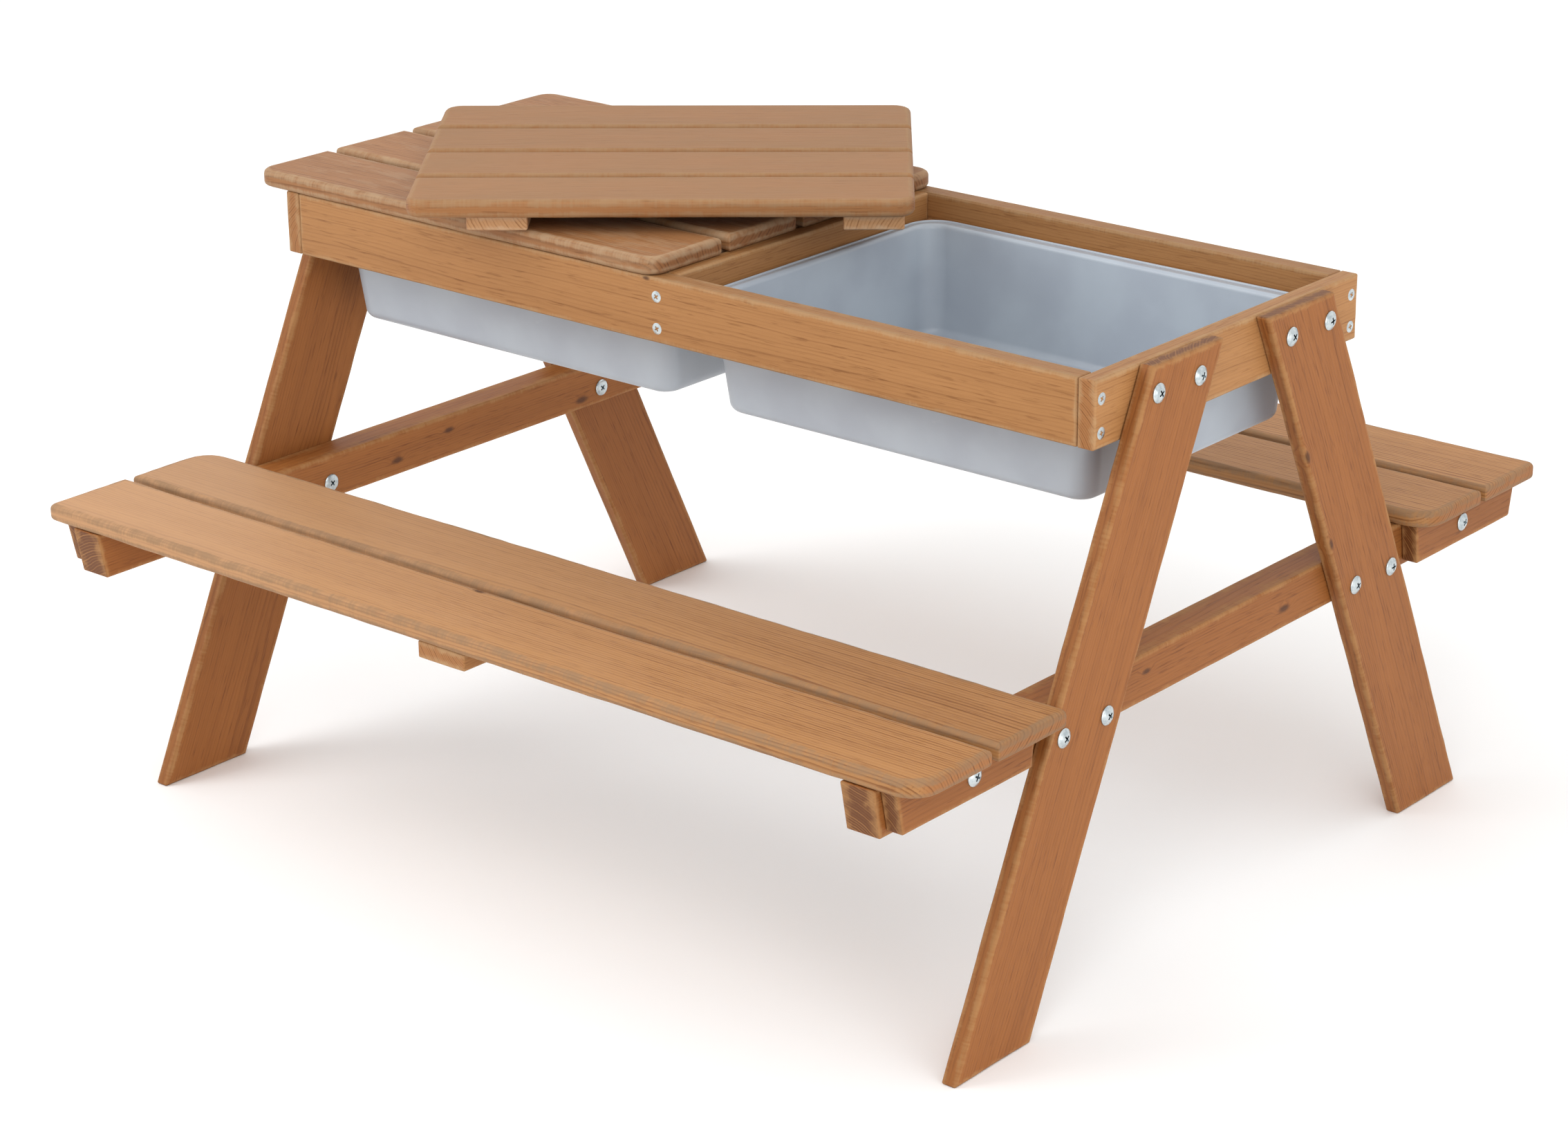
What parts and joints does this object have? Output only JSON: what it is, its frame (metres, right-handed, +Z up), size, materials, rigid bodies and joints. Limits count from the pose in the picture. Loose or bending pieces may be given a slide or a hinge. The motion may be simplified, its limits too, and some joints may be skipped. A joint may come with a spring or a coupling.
{
  "type": "sand and water table",
  "caption": "Child's wooden picnic table with benches; its top frame holds lift-out plastic tubs for sand and water under lift-off slatted lids.",
  "frame": {"origin": "on the floor, under the middle of the table", "axes": "+X along the benches, towards the open well; +Y towards the back bench; +Z up"},
  "size_m": [0.901, 0.84, 0.521],
  "materials": {
    "frame_wood": "stained softwood, satin",
    "bench_wood": "stained softwood, satin, edges worn paler",
    "lid_wood": "stained softwood, satin, slightly greyed",
    "batten_wood": "stained softwood, rough sawn",
    "tub_plastic": "moulded, satin",
    "zinc_steel": "bright zinc plated"
  },
  "bodies": {
    "frame": {"apron_front": "frame_wood", "apron_back": "frame_wood", "apron_left": "frame_wood", "apron_right": "frame_wood", "divider": "frame_wood", "ledge_front_left": "batten_wood", "ledge_front_right": "batten_wood", "ledge_back_left": "batten_wood", "ledge_back_right": "batten_wood", "leg_front_left": "frame_wood", "leg_front_right": "frame_wood", "leg_back_left": "frame_wood", "leg_back_right": "frame_wood", "beam_left": "frame_wood", "beam_right": "frame_wood", "bench_front_slat_outer": "bench_wood", "bench_front_slat_inner": "bench_wood", "bench_front_batten_left": "frame_wood", "bench_front_batten_right": "frame_wood", "bench_front_cleat": "frame_wood", "bench_back_slat_outer": "bench_wood", "bench_back_slat_inner": "bench_wood", "bench_back_batten_left": "frame_wood", "bench_back_batten_right": "frame_wood", "bench_back_cleat": "frame_wood", "apron_screws": "zinc_steel", "divider_screws": "zinc_steel", "ledge_screws": "zinc_steel", "leg_top_bolts": "zinc_steel", "leg_top_nuts": "zinc_steel", "beam_bolts": "zinc_steel", "beam_nuts": "zinc_steel", "bench_bolts": "zinc_steel", "bench_nuts": "zinc_steel", "bench_front_screws": "zinc_steel", "bench_back_screws": "zinc_steel"},
    "tub_left": {"tub_left": "tub_plastic"},
    "tub_right": {"tub_right": "tub_plastic"},
    "lid_left": {"lid_left_slat_1": "lid_wood", "lid_left_slat_2": "lid_wood", "lid_left_slat_3": "lid_wood", "lid_left_slat_4": "lid_wood", "lid_left_batten_outer": "batten_wood", "lid_left_batten_inner": "batten_wood", "lid_left_screws": "zinc_steel"},
    "lid_right": {"lid_right_slat_1": "lid_wood", "lid_right_slat_2": "lid_wood", "lid_right_slat_3": "lid_wood", "lid_right_slat_4": "lid_wood", "lid_right_batten_outer": "batten_wood", "lid_right_batten_inner": "batten_wood", "lid_right_screws": "zinc_steel"}
  },
  "joints": [
    {"name": "lid_left_lift", "type": "slide", "parent": "frame", "child": "lid_left", "axis": [0, 0, 1], "range_m": [0, 0.32]},
    {"name": "lid_right_lift", "type": "slide", "parent": "lid_left", "child": "lid_right", "axis": [0, 0, 1], "range_m": [0, 0.2]},
    {"name": "tub_left_lift", "type": "slide", "parent": "frame", "child": "tub_left", "axis": [0, 0, 1], "range_m": [0, 0.16]},
    {"name": "tub_right_lift", "type": "slide", "parent": "frame", "child": "tub_right", "axis": [0, 0, 1], "range_m": [0, 0.16]}
  ],
  "couplings": [
    {"joint": "tub_left_lift", "follows": "lid_left_lift", "ratio": 0.5},
    {"joint": "tub_right_lift", "follows": "lid_left_lift", "ratio": 0.5}
  ]
}
